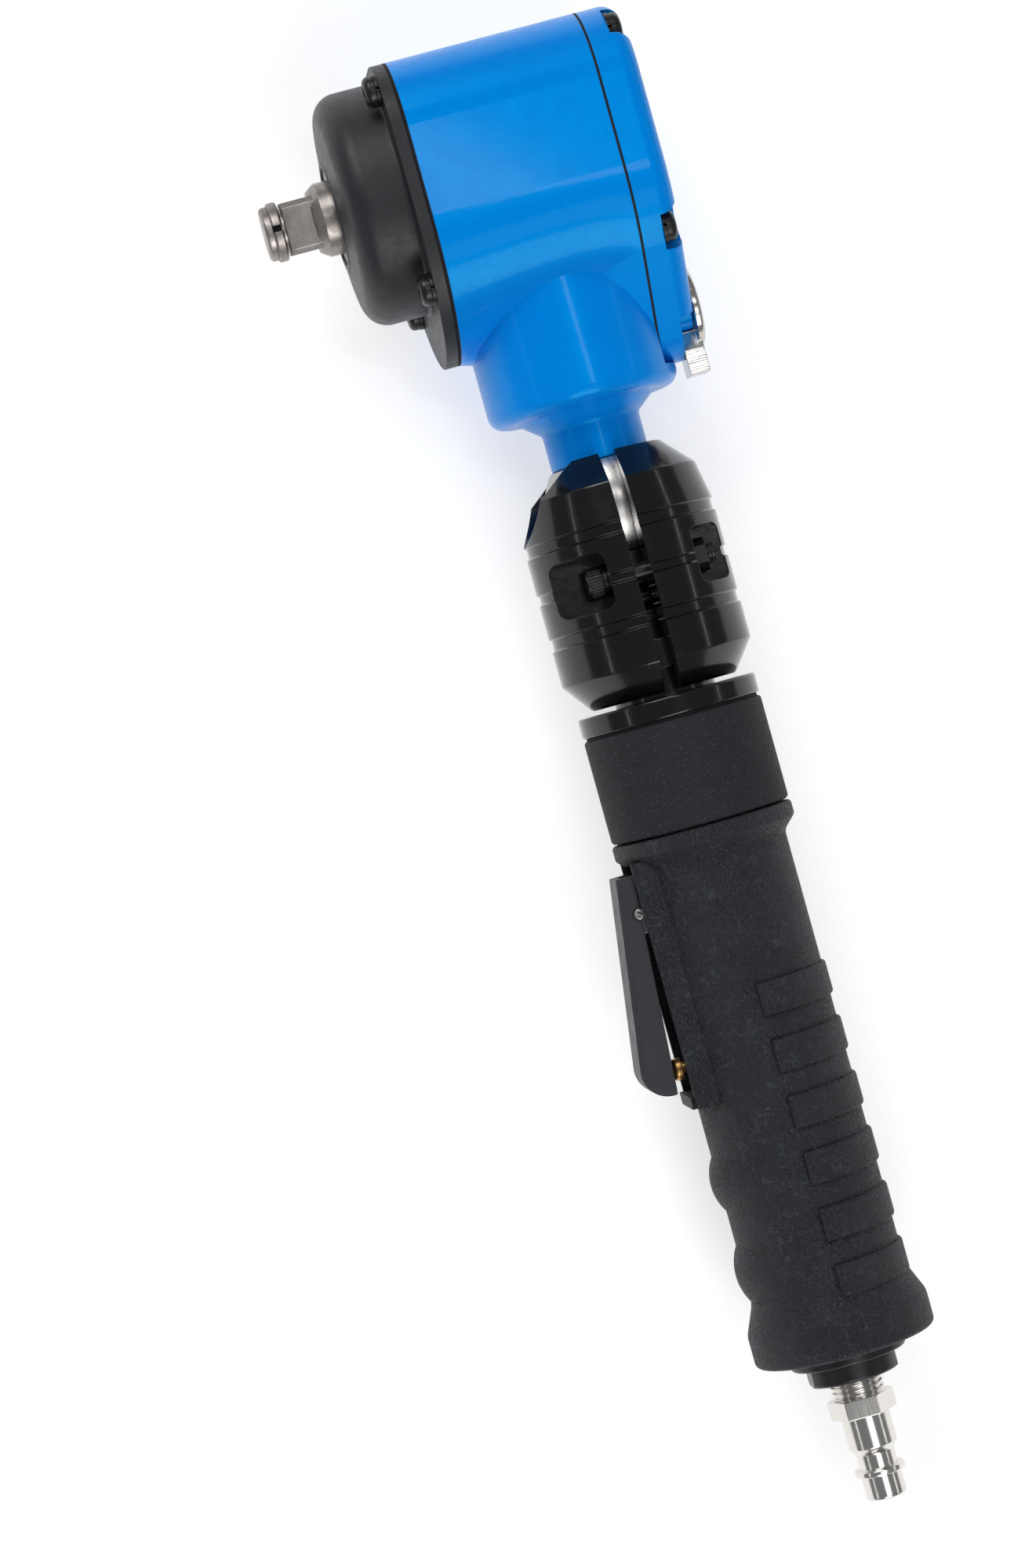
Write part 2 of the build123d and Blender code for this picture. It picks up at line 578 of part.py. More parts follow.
with BuildPart() as head_ball:
    with BuildSketch(Plane.XY) as half:
        with BuildLine():
            top = (BALL_TOP, HANDLE_Y + ball_radius_at(BALL_TOP))
            low = (BALL_X + ball_radius_at(BALL_X + 6.0), HANDLE_Y + 6.0)
            ThreePointArc(top, (BALL_X, HANDLE_Y + BALL_R), low)
            Polyline(low, (92.0, HANDLE_Y + BALL_BORE), (51.0, HANDLE_Y + BALL_BORE),
                     (51.0, HANDLE_Y + BALL_STEM_R), (BALL_TOP, HANDLE_Y + BALL_STEM_R), top)
        make_face()
    revolve(half.sketch, axis=HANDLE_AXIS)
    snap_groove = [(SNAP_X - 0.1, 7.0), (SNAP_X - 0.1, 9.0), (SNAP_X + 1.4, 9.0), (SNAP_X + 1.4, 7.0)]
    turn_handle(snap_groove, mode=Mode.SUBTRACT)
    for x in (60.0, 66.0):
        turn_handle([(x, 6.6), (x, 9.0), (x + 2.2, 9.0), (x + 2.2, 6.6)], mode=Mode.SUBTRACT)
head_ball.part.label = "head_ball"
export_step(head_ball.part, "parts/head_ball.step")

with BuildPart() as neck_o_rings:
    for x in (60.0, 66.0):
        turn_handle([(x + 0.1, 6.6), (x + 0.1, 8.0), (x + 2.1, 8.0), (x + 2.1, 6.6)], {1: 0.6, 2: 0.6})
neck_o_rings.part.label = "neck_o_rings"
export_step(neck_o_rings.part, "parts/neck_o_rings.step")

with BuildPart() as neck_snap_ring:
    turn_handle([(SNAP_X + 0.1, 7.3), (SNAP_X + 0.1, 8.6), (SNAP_X + 1.2, 8.6), (SNAP_X + 1.2, 7.3)])
    block((SNAP_X, SNAP_X + 2), (HANDLE_Y - 9, HANDLE_Y), (-1.2, 1.2), mode=Mode.SUBTRACT)
neck_snap_ring.part.label = "neck_snap_ring"
export_step(neck_snap_ring.part, "parts/neck_snap_ring.step")

# ---------------------------------------------------------------- split clamp
STEM_R = 12.35
STEM_FLANGE_R = 16.0
FLANGE_TOP = 118.0
FLANGE_END = 125.0
CHAMBER_R = 10.0
NOTCH_R = 12.6
NOTCH_X = 76.2
NOTCH_SHAPE = ((60.0, NOTCH_X), (-NOTCH_R, NOTCH_R))


def clamp_barrel():
    """The whole barrel, before it is split: outside with three shallow grooves, and everything inside."""
    shape = [
        (CLAMP_TOP, 0),
        (CLAMP_TOP, 15.0),
        (79.2, 21.8),
        (88.5, CLAMP_R),
        (123.2, CLAMP_R),
        (129.9, 18.4),
        (CLAMP_END, 17.6),
        (CLAMP_END, 0),
    ]
    turn_handle(shape, {1: 0.5, 2: 0.8, 4: 0.8, 5: 0.5})
    for start, end in ((88.5, 91.7), (100.4, 103.0), (111.3, 114.5)):
        groove = [(start, CLAMP_R + 1), (start, CLAMP_R - 0.1), (start + 0.5, CLAMP_R - 0.6),
                  (end - 0.5, CLAMP_R - 0.6), (end, CLAMP_R - 0.1), (end, CLAMP_R + 1)]
        turn_handle(groove, mode=Mode.SUBTRACT)
    rod_x(13.6, CLAMP_TOP, BALL_X - 5, mode=Mode.SUBTRACT)
    with Locations((BALL_X, HANDLE_Y, 0)):
        Sphere(BALL_R + GAP, mode=Mode.SUBTRACT)
    rod_x(CHAMBER_R, BALL_X, FLANGE_TOP, mode=Mode.SUBTRACT)
    rod_x(STEM_FLANGE_R + GAP, FLANGE_TOP - GAP, FLANGE_END + GAP, mode=Mode.SUBTRACT)
    rod_x(STEM_R + GAP, FLANGE_END, CLAMP_END, mode=Mode.SUBTRACT)


def clamp_screw_holes():
    """Clearance holes for the two screws that pull the shells together."""
    for z in (-CLAMP_SCREW_Z, CLAMP_SCREW_Z):
        rod_y(2.2, HANDLE_Y - 25, HANDLE_Y + 25, CLAMP_SCREW_X, z, mode=Mode.SUBTRACT)


def pocket(low, high, corner, mode=Mode.SUBTRACT):
    """A rounded pocket on both sides of the barrel, between two distances from the split plane."""
    for way in (-1, 1):
        with BuildSketch(side(way * POCKET_FLOOR)) as opening:
            with Locations((CLAMP_SCREW_X, (low + high) / 2)):
                RectangleRounded(POCKET_LENGTH, high - low, corner)
        extrude(opening.sketch, amount=way * 15, mode=mode)


with BuildPart() as front_clamp_shell:
    clamp_barrel()
    block((60, 140), (HANDLE_Y - SPLIT / 2, HANDLE_Y + 30), (-30, 30), mode=Mode.SUBTRACT)
    with BuildSketch(Plane.XZ.offset(-HANDLE_Y)) as notch:
        with Locations((NOTCH_X, 0)):
            Circle(NOTCH_R)
        with Locations((NOTCH_X - 10, 0)):
            Rectangle(20, 2 * NOTCH_R)
    extrude(notch.sketch, amount=30, mode=Mode.SUBTRACT)
    pocket(-20.6, FRONT_SEAT, 2.6)
    clamp_screw_holes()
front_clamp_shell.part.label = "front_clamp_shell"
export_step(front_clamp_shell.part, "parts/front_clamp_shell.step")

with BuildPart() as rear_clamp_shell:
    clamp_barrel()
    block((60, 140), (HANDLE_Y - 30, HANDLE_Y + SPLIT / 2), (-30, 30), mode=Mode.SUBTRACT)
    pocket(REAR_SEAT, 21.5, 1.8)
    clamp_screw_holes()
rear_clamp_shell.part.label = "rear_clamp_shell"
export_step(rear_clamp_shell.part, "parts/rear_clamp_shell.step")

with BuildPart() as clamp_screws:
    for z in (-CLAMP_SCREW_Z, CLAMP_SCREW_Z):
        seat = HANDLE_Y + FRONT_SEAT - WASHER_T
        rod_y(SCREW_R, seat, HANDLE_Y + REAR_SEAT + 5.4, CLAMP_SCREW_X, z)
        rod_y(CLAMP_HEAD_R, seat - 4.0, seat, CLAMP_SCREW_X, z)
        with BuildSketch(across(seat - 4.0)) as socket:
            with Locations((CLAMP_SCREW_X, -z)):
                RegularPolygon(1.5, 6, major_radius=False)
        extrude(socket.sketch, amount=2.2, mode=Mode.SUBTRACT)
clamp_screws.part.label = "clamp_screws"
export_step(clamp_screws.part, "parts/clamp_screws.step")

with BuildPart() as clamp_washers:
    for z in (-CLAMP_SCREW_Z, CLAMP_SCREW_Z):
        seat = HANDLE_Y + FRONT_SEAT
        rod_y(WASHER_R, seat - WASHER_T, seat, CLAMP_SCREW_X, z)
        rod_y(SCREW_R + 0.1, seat - WASHER_T, seat, CLAMP_SCREW_X, z, mode=Mode.SUBTRACT)
clamp_washers.part.label = "clamp_washers"
export_step(clamp_washers.part, "parts/clamp_washers.step")

with BuildPart() as clamp_nuts:
    for z in (-CLAMP_SCREW_Z, CLAMP_SCREW_Z):
        seat = HANDLE_Y + REAR_SEAT
        with BuildSketch(across(seat)) as hexagon:
            with Locations((CLAMP_SCREW_X, -z)):
                RegularPolygon(3.5, 6, major_radius=False)
                Circle(SCREW_R, mode=Mode.SUBTRACT)
        extrude(hexagon.sketch, amount=3.2)
clamp_nuts.part.label = "clamp_nuts"
export_step(clamp_nuts.part, "parts/clamp_nuts.step")

# ---------------------------------------------------------------- air seal between the ball and the handle
SEAT_END = 103.0
SPRINGS = 4
SPRING_SPAN = 2.2
SEAT_BORE = 7.0
SEAT_R = CHAMBER_R - GAP
SEAT_CUP = BALL_R + GAP
with BuildPart() as ball_seat:
    with BuildSketch(Plane.XY) as half:
        with BuildLine():
            outer = (BALL_X + sqrt(SEAT_CUP ** 2 - SEAT_R ** 2), HANDLE_Y + SEAT_R)
            middle = (BALL_X + sqrt(SEAT_CUP ** 2 - 8.4 ** 2), HANDLE_Y + 8.4)
            inner = (BALL_X + sqrt(SEAT_CUP ** 2 - SEAT_BORE ** 2), HANDLE_Y + SEAT_BORE)
            ThreePointArc(outer, middle, inner)
            Polyline(inner, (SEAT_END - 2, HANDLE_Y + SEAT_BORE), (SEAT_END, HANDLE_Y + 5.5),
                     (SEAT_END, HANDLE_Y + SEAT_R), outer)
        make_face()
    revolve(half.sketch, axis=HANDLE_AXIS)
ball_seat.part.label = "ball_seat"
export_step(ball_seat.part, "parts/ball_seat.step")

with BuildPart() as disc_springs:
    for index in range(SPRINGS):
        low = SEAT_END + index * SPRING_SPAN
        inner, outer = (low + 0.1, low + 1.2) if index % 2 else (low + 1.2, low + 0.1)
        turn_handle([(inner, 5.8), (outer, 9.4), (outer + 0.8, 9.4), (inner + 0.8, 5.8)])
disc_springs.part.label = "disc_springs"
export_step(disc_springs.part, "parts/disc_springs.step")

THRUST_X = SEAT_END + SPRINGS * SPRING_SPAN
with BuildPart() as thrust_washer:
    turn_handle([(THRUST_X, 5.5), (THRUST_X, 9.7), (THRUST_X + 1.6, 9.7), (THRUST_X + 1.6, 5.5)])
thrust_washer.part.label = "thrust_washer"
export_step(thrust_washer.part, "parts/thrust_washer.step")

# ---------------------------------------------------------------- swivel stem, collar and sleeve
with BuildPart() as swivel_stem:
    stem = [
        (THRUST_X + 1.6 + GAP, 4.5),
        (THRUST_X + 1.6 + GAP, CHAMBER_R - GAP),
        (FLANGE_TOP, CHAMBER_R - GAP),
        (FLANGE_TOP, STEM_FLANGE_R),
        (FLANGE_END, STEM_FLANGE_R),
        (FLANGE_END, STEM_R),
        (COLLAR_X, STEM_R),
        (COLLAR_X, COLLAR_R),
        (SLEEVE_X - 0.7, COLLAR_R),
        (SLEEVE_X - 0.7, STEM_R),
        (150.0, STEM_R),
        (150.0, 4.5),
    ]
    turn_handle(stem, {7: 0.6, 8: 0.6})
swivel_stem.part.label = "swivel_stem"
export_step(swivel_stem.part, "parts/swivel_stem.step")

with BuildPart() as collar_seal:
    turn_handle([(SLEEVE_X - 0.7, STEM_R), (SLEEVE_X - 0.7, COLLAR_R - 0.8), (SLEEVE_X, COLLAR_R - 0.8),
                 (SLEEVE_X, STEM_R)])
collar_seal.part.label = "collar_seal"
export_step(collar_seal.part, "parts/collar_seal.step")

SLEEVE_BORE = 19.0
with BuildPart() as sleeve:
    tube = [
        (SLEEVE_X, STEM_R),
        (SLEEVE_X, COLLAR_R),
        (SLEEVE_END, COLLAR_R),
        (SLEEVE_END, CORE_R),
        (SLEEVE_END - 3.5, CORE_R),
        (SLEEVE_END - 3.5, SLEEVE_BORE),
        (SLEEVE_X + 3.7, SLEEVE_BORE),
        (SLEEVE_X + 3.7, STEM_R),
    ]
    turn_handle(tube, {1: 0.8, 2: 1.0})
sleeve.part.label = "sleeve"
export_step(sleeve.part, "parts/sleeve.step")

with BuildPart() as silencer_felt:
    turn_handle([(SLEEVE_X + 4.2, CORE_R + GAP), (SLEEVE_X + 4.2, SLEEVE_BORE - GAP),
                 (SLEEVE_END - 4.0, SLEEVE_BORE - GAP), (SLEEVE_END - 4.0, CORE_R + GAP)])
silencer_felt.part.label = "silencer_felt"
export_step(silencer_felt.part, "parts/silencer_felt.step")

# ---------------------------------------------------------------- handle core
LUG_HALF = 4.7
LUG_R = 2.6
SEAT_HALF = 6.5
INLET_X = 279.0
with BuildPart() as handle_core:
    rod_x(CORE_R, SLEEVE_X + 3.7, CORE_END)
    block((172.0, 229.0), (HANDLE_Y + LEVER_FLOOR, HANDLE_Y), (-SEAT_HALF, SEAT_HALF))
    block((PIVOT_X - LUG_R, PIVOT_X + 5), (HANDLE_Y + PIVOT_Y, HANDLE_Y), (-LUG_HALF, LUG_HALF))
    with Locations((PIVOT_X, HANDLE_Y + PIVOT_Y, 0)):
        Cylinder(LUG_R, 2 * LUG_HALF)
        Cylinder(PIVOT_R, 2 * LUG_HALF, mode=Mode.SUBTRACT)
    rod_x(STEM_R, SLEEVE_X + 3.7, 150.0, mode=Mode.SUBTRACT)
    rod_x(6.0, 149.0, VALVE_X - 7, mode=Mode.SUBTRACT)
    rod_x(2.2, VALVE_X - 8, VALVE_X + 8, mode=Mode.SUBTRACT)
    rod_x(6.0, VALVE_X + 7, INLET_X + 1, mode=Mode.SUBTRACT)
    rod_x(9.4, INLET_X, CORE_END, mode=Mode.SUBTRACT)
    rod_y(VALVE_BORE, HANDLE_Y - 20, HANDLE_Y + 20, VALVE_X, mode=Mode.SUBTRACT)
handle_core.part.label = "handle_core"
export_step(handle_core.part, "parts/handle_core.step")

# ---------------------------------------------------------------- rubber grip
CHANNEL_HALF = 9.2
CHANNEL_TOP = 168.6
RIM_TOP = 168.0            # the rims that guard the lever on both sides
RIM_END = 228.4
RIM_T = 3.0
LIP_X = 225.4
with BuildPart() as grip:
    skin = [
        (GRIP_X, 0),
        (GRIP_X, GRIP_FLANGE_R),
        (167.0, GRIP_FLANGE_R),
        (170.2, GRIP_R),
        (278.5, GRIP_R),
        (286.0, GRIP_FLANGE_R),
        (CORE_END, GRIP_FLANGE_R),
        (CORE_END, 0),
    ]
    turn_handle(skin, {1: 0.9, 2: 1.2, 3: 2.5, 4: 9.0, 5: 5.0, 6: 1.4})
    for index in range(PAD_COUNT):
        start = PAD_FIRST + index * PAD_PITCH
        with BuildSketch(Plane.XZ.offset(-HANDLE_Y)) as pad:
            with Locations((start + PAD_LENGTH / 2, GRIP_R - 0.7)):
                RectangleRounded(PAD_LENGTH, 3.1, 0.8)
        revolve(pad.sketch, axis=Axis((0, HANDLE_Y, 0), (-1, 0, 0)), revolution_arc=180)
    for start, end, rise in ((239.5, 257.5, 2.0), (261.5, 280.5, 2.0)):
        front_axis = HANDLE_Y - rise
        low = GRIP_R - 2 * rise
        with BuildSketch(Plane.XY) as swell:
            with BuildLine():
                ThreePointArc((start, front_axis + low), ((start + end) / 2, front_axis + GRIP_R),
                              (end, front_axis + low))
                Polyline((end, front_axis + low), (end, front_axis), (start, front_axis),
                         (start, front_axis + low))
            make_face()
        revolve(swell.sketch, axis=Axis((0, front_axis, 0), (1, 0, 0)))
    for way in (-1, 1):
        with BuildSketch(along(RIM_TOP)) as rim:
            with Locations((-16.0, way * (CHANNEL_HALF + RIM_T / 2))):
                Rectangle(8.8, RIM_T)
            fillet(rim.vertices().group_by(Axis.Y)[0], radius=1.2)
        extrude(rim.sketch, amount=RIM_END - RIM_TOP)
    block((LIP_X, RIM_END), (HANDLE_Y - 21.4, HANDLE_Y - 14), (-CHANNEL_HALF - 1, CHANNEL_HALF + 1))
    block((CHANNEL_TOP, LIP_X), (HANDLE_Y - 30, HANDLE_Y + LEVER_FLOOR), (-CHANNEL_HALF, CHANNEL_HALF),
          mode=Mode.SUBTRACT)
    block((172.0, 229.0), (HANDLE_Y + LEVER_FLOOR, HANDLE_Y), (-SEAT_HALF, SEAT_HALF), mode=Mode.SUBTRACT)
    rod_x(CORE_R, GRIP_X, CORE_END, mode=Mode.SUBTRACT)
grip.part.label = "grip"
export_step(grip.part, "parts/grip.step")

# ---------------------------------------------------------------- throttle lever and its pivot pin
with BuildPart() as lever:
    with BuildSketch(side(-LEVER_HALF_WIDTH)) as blade:
        with BuildLine():
            Polyline((LEVER_TOP, -20.1), (LEVER_TOP, -24.3), LEVER_CORNER, (LEVER_END, -23.7),
                     close=True)
        make_face()
        fillet(blade.vertices().sort_by_distance(Vector(*LEVER_CORNER, 0))[0], radius=6.5)
    extrude(blade.sketch, amount=2 * LEVER_HALF_WIDTH)
    outer_edges = lever.edges().filter_by(
        lambda edge: abs(abs(edge.center().Z) - LEVER_HALF_WIDTH) < 0.01
        and edge.center().Y < HANDLE_Y - 24.0
    )
    chamfer(outer_edges, length=1.0)
    with BuildSketch(side(-LUG_HALF - GAP)) as channel:
        with BuildLine():
            Polyline((LEVER_TOP - 1, -15.0), (LEVER_TOP - 1, -22.8), (177.0, -23.8), (212.0, -28.6),
                     (212.0, -15.0), close=True)
        make_face()
    extrude(channel.sketch, amount=2 * (LUG_HALF + GAP), mode=Mode.SUBTRACT)
    with Locations((PIVOT_X, HANDLE_Y + PIVOT_Y, 0)):
        Cylinder(PIVOT_R + FIT, 2 * LEVER_HALF_WIDTH, mode=Mode.SUBTRACT)
    for way in (-1, 1):
        with Locations((PIVOT_X, HANDLE_Y + PIVOT_Y, way * LEVER_HALF_WIDTH)):
            Cylinder(PIVOT_R + 0.5, 0.8, mode=Mode.SUBTRACT)
lever.part.label = "lever"
export_step(lever.part, "parts/lever.step")

with BuildPart() as lever_pin:
    with Locations((PIVOT_X, HANDLE_Y + PIVOT_Y, 0)):
        Cylinder(PIVOT_R, 2 * LEVER_HALF_WIDTH - 0.4)
        Cylinder(PIVOT_R - 0.55, 2 * LEVER_HALF_WIDTH, mode=Mode.SUBTRACT)
    block((PIVOT_X - 0.25, PIVOT_X + 0.25), (HANDLE_Y + PIVOT_Y, HANDLE_Y + PIVOT_Y + 3), (-10, 10),
          mode=Mode.SUBTRACT)
lever_pin.part.label = "lever_pin"
export_step(lever_pin.part, "parts/lever_pin.step")

# ---------------------------------------------------------------- throttle valve
LAND_R = VALVE_BORE - FIT
BUSH_TOP = -15.0           # leaves room for the button to come down
with BuildPart() as valve_spool:
    rod_y(1.6, HANDLE_Y - 22.0, HANDLE_Y - 11.0, VALVE_X)
    rod_y(2.8, HANDLE_Y - 23.0, HANDLE_Y - 20.4, VALVE_X)
    fillet(valve_spool.faces().sort_by(Axis.Y)[0].edges(), radius=1.6)
    rod_y(LAND_R, HANDLE_Y - 12.0, HANDLE_Y - 7.0, VALVE_X)
    rod_y(1.8, HANDLE_Y - 7.0, HANDLE_Y - 2.3, VALVE_X)
    rod_y(LAND_R, HANDLE_Y - 2.3, HANDLE_Y + 3.5, VALVE_X)
valve_spool.part.label = "valve_spool"
export_step(valve_spool.part, "parts/valve_spool.step")

with BuildPart() as throttle_bush:
    rod_y(VALVE_BORE, HANDLE_Y + BUSH_TOP, HANDLE_Y - 12.3, VALVE_X)
    rod_y(1.6 + FIT, HANDLE_Y + BUSH_TOP, HANDLE_Y - 12.3, VALVE_X, mode=Mode.SUBTRACT)
throttle_bush.part.label = "throttle_bush"
export_step(throttle_bush.part, "parts/throttle_bush.step")

CAP_Y = 11.0
with BuildPart() as valve_cap:
    rod_y(VALVE_BORE, HANDLE_Y + CAP_Y, HANDLE_Y + 12.6, VALVE_X)
valve_cap.part.label = "valve_cap"
export_step(valve_cap.part, "parts/valve_cap.step")

SPRING_R = 3.2
WIRE_R = 0.4
SPRING_START = 3.5 + WIRE_R + 0.1
SPRING_LENGTH = CAP_Y - SPRING_START - WIRE_R - 0.1
with BuildPart() as valve_spring:
    with BuildLine() as coil:
        foot = (VALVE_X, HANDLE_Y + SPRING_START, 0)
        Helix(SPRING_LENGTH / 5, SPRING_LENGTH, SPRING_R, center=foot, direction=(0, 1, 0))
    with BuildSketch(Plane(origin=coil.line @ 0, z_dir=coil.line % 0)) as wire:
        Circle(WIRE_R)
    sweep(path=coil.line, is_frenet=True)
valve_spring.part.label = "valve_spring"
export_step(valve_spring.part, "parts/valve_spring.step")

# ---------------------------------------------------------------- air inlet
with BuildPart() as end_ring:
    turn_handle([(CORE_END, 9.4), (CORE_END, 14.2), (297.0, 14.2), (297.0, 9.4)], {1: 0.4, 2: 0.6})
end_ring.part.label = "end_ring"
export_step(end_ring.part, "parts/end_ring.step")

THREAD_R = 6.58
PLUG_START = 291.0
with BuildPart() as inlet_bushing:
    bushing = [
        (INLET_X + 3, 4.5),
        (INLET_X + 3, 9.4),
        (297.0, 9.4),
        (297.0, 11.5),
        (301.7, 11.5),
        (301.7, THREAD_R),
        (PLUG_START, THREAD_R),
        (PLUG_START, 4.5),
    ]
    turn_handle(bushing, {3: 0.4, 4: 0.9})
    for way in (-1, 1):
        block((297.6, 303.0), (HANDLE_Y + way * 11.4 - 0.9, HANDLE_Y + way * 11.4 + 0.9), (-12, 12),
              mode=Mode.SUBTRACT)
inlet_bushing.part.label = "inlet_bushing"
export_step(inlet_bushing.part, "parts/inlet_bushing.step")

with BuildPart() as inlet_screen:
    rod_x(9.2, INLET_X + 0.2, INLET_X + 2.6)
    with BuildSketch(along(INLET_X + 0.2)) as mesh:
        with GridLocations(2.6, 2.6, 5, 5):
            Rectangle(1.8, 1.8)
    extrude(mesh.sketch, amount=2.4, mode=Mode.SUBTRACT)
inlet_screen.part.label = "inlet_screen"
export_step(inlet_screen.part, "parts/inlet_screen.step")

PLUG_END = 331.9
PLUG_BORE = 3.5
THREAD_ROOT_R = 5.95
with BuildPart() as air_plug:
    nose = [
        (PLUG_START, PLUG_BORE),
        (PLUG_START, THREAD_R),
        (301.7, THREAD_R),
        (301.7, THREAD_ROOT_R),
        (306.8, THREAD_ROOT_R),
        (306.8, 6.2),
        (310.9, 6.2),
        (310.9, 6.0),
        (318.9, 6.0),
        (320.6, 4.75),
        (324.3, 4.75),
        (324.3, 6.2),
        (326.0, 6.2),
        (326.0, 5.0),
        (PLUG_END, 5.0),
        (PLUG_END, PLUG_BORE),
    ]
    turn_handle(nose, {11: 0.5, 12: 0.5, 14: 0.7})
    with BuildSketch(along(306.6)) as nut:
        RegularPolygon(7.0, 6, major_radius=False, rotation=8)
        Circle(PLUG_BORE, mode=Mode.SUBTRACT)
    extrude(nut.sketch, amount=4.5)
air_plug.part.label = "air_plug"
export_step(air_plug.part, "parts/air_plug.step")
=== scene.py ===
"""Looks of the air impact wrench: materials, moulded rubber, knurls and threads around the CAD frame."""
import json
from math import cos, pi, sin

import bpy
from mathutils import Matrix, Vector


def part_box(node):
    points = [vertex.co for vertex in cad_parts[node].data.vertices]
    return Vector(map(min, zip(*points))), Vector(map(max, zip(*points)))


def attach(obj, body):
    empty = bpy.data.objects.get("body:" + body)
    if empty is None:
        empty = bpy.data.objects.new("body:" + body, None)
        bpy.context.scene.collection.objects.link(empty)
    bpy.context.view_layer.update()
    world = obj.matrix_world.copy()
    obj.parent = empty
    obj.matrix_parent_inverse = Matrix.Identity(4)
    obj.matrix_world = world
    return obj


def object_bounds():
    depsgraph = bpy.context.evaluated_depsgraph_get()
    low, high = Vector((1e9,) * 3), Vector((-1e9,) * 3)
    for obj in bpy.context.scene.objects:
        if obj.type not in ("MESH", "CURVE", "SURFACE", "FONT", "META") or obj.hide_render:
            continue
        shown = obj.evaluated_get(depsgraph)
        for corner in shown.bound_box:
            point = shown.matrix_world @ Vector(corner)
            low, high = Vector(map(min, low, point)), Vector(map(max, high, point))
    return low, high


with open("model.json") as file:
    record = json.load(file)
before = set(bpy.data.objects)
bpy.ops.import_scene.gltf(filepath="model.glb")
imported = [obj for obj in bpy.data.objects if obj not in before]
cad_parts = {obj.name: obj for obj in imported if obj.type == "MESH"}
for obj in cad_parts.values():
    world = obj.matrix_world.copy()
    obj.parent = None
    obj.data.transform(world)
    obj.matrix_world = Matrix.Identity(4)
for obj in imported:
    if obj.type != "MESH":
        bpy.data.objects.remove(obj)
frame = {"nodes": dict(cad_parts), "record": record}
cad_box = [list(corner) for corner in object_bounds()]
nodes = frame["nodes"]

MM = 0.001
AXIS_Y = sum(corner[1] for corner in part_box("sleeve")) / 2     # the handle's axis, parallel to X


# ---------------------------------------------------------------- camera, floor and lights
VIEW_TARGET = Vector((141.8, 20.8, 0.0)) * MM
TO_CAMERA = Vector((-0.015, -0.081, 1.0)).normalized()
PICTURE_RIGHT = Vector((0.2680, 0.9634, 0.0))
CAMERA_DISTANCE = 1.0
VIEW_HEIGHT = 0.3762
SENSOR_WIDTH = 36.0
FAR_CLIP = 50.0


def make_camera():
    camera = bpy.data.objects.new("camera", bpy.data.cameras.new("camera"))
    bpy.context.collection.objects.link(camera)
    right = (PICTURE_RIGHT - TO_CAMERA * PICTURE_RIGHT.dot(TO_CAMERA)).normalized()
    up = TO_CAMERA.cross(right)
    turn = Matrix((right, up, TO_CAMERA)).transposed().to_4x4()
    camera.matrix_world = Matrix.Translation(VIEW_TARGET + TO_CAMERA * CAMERA_DISTANCE) @ turn
    camera.data.sensor_width = SENSOR_WIDTH
    camera.data.lens = SENSOR_WIDTH * CAMERA_DISTANCE / VIEW_HEIGHT
    camera.data.clip_end = FAR_CLIP
    bpy.context.scene.camera = camera


WHITE = (1.0, 1.0, 1.0, 1.0)
FLOOR_SIZE = 12.0
FLOOR_CENTRE = (0.1, 0.05)
FLOOR_TONE = (0.55, 0.55, 0.55, 1.0)
FLOOR_GLOW = 0.62
SKY_COLOUR = (0.93, 0.96, 1.0, 1.0)
SKY_STRENGTH = 0.21
TOOL_MIDDLE = (0.12, 0.05, 0.0)
LIGHTS = {      # place, aim and size in metres, and power in watts
    "head_end": ((-1.00, -0.25, 1.00), TOOL_MIDDLE, (0.80, 0.80), 11),
    "plug_end": ((1.35, 0.05, 1.00), TOOL_MIDDLE, (0.80, 0.80), 10),
    "left_strip": ((0.10, -0.90, 0.55), TOOL_MIDDLE, (0.04, 1.30), 0.45),
    "right_strip": ((0.20, 0.95, 0.50), TOOL_MIDDLE, (0.04, 1.30), 0.45),
    "band": ((-0.095, 0.168, 1.03), (0.018, 0.052, 0.032), (0.06, 0.30), 0.75),
    "plug_panel": ((0.52, 0.19, 1.00), (0.32, 0.063, 0.0), (0.28, 0.45), 0.85),
}


def area_light(name, place, aim, size, power):
    data = bpy.data.lights.new(name, "AREA")
    data.shape = "RECTANGLE"
    data.size, data.size_y = size
    data.energy = power
    light = bpy.data.objects.new(name, data)
    bpy.context.collection.objects.link(light)
    light.location = place
    light.rotation_euler = (Vector(aim) - Vector(place)).to_track_quat("-Z", "X").to_euler()


def make_stage():
    bpy.ops.mesh.primitive_plane_add(size=FLOOR_SIZE, location=(*FLOOR_CENTRE, cad_box[0][2]))
    floor = bpy.context.object
    floor.name = "floor"
    paper = Shader("floor_paper", Base_Color=FLOOR_TONE, Roughness=0.9,
                   Emission_Color=WHITE, Emission_Strength=FLOOR_GLOW)
    floor.data.materials.append(paper.material)
    world = bpy.data.worlds.new("studio")
    world.use_nodes = True
    sky = world.node_tree.nodes["Background"]
    sky.inputs["Color"].default_value = SKY_COLOUR
    sky.inputs["Strength"].default_value = SKY_STRENGTH
    bpy.context.scene.world = world
    bpy.context.scene.view_settings.view_transform = "Standard"
    for name, settings in LIGHTS.items():
        area_light(name, *settings)


# ---------------------------------------------------------------- node materials
SOFT_SAMPLES = 6                        # rays of the bevel and ambient occlusion nodes
MIX_A, MIX_B, MIX_RESULT = 6, 7, 2      # the colour sockets of the Mix node
NOISE_LOW, NOISE_HIGH = 0.3, 0.7        # the middle of a noise's values


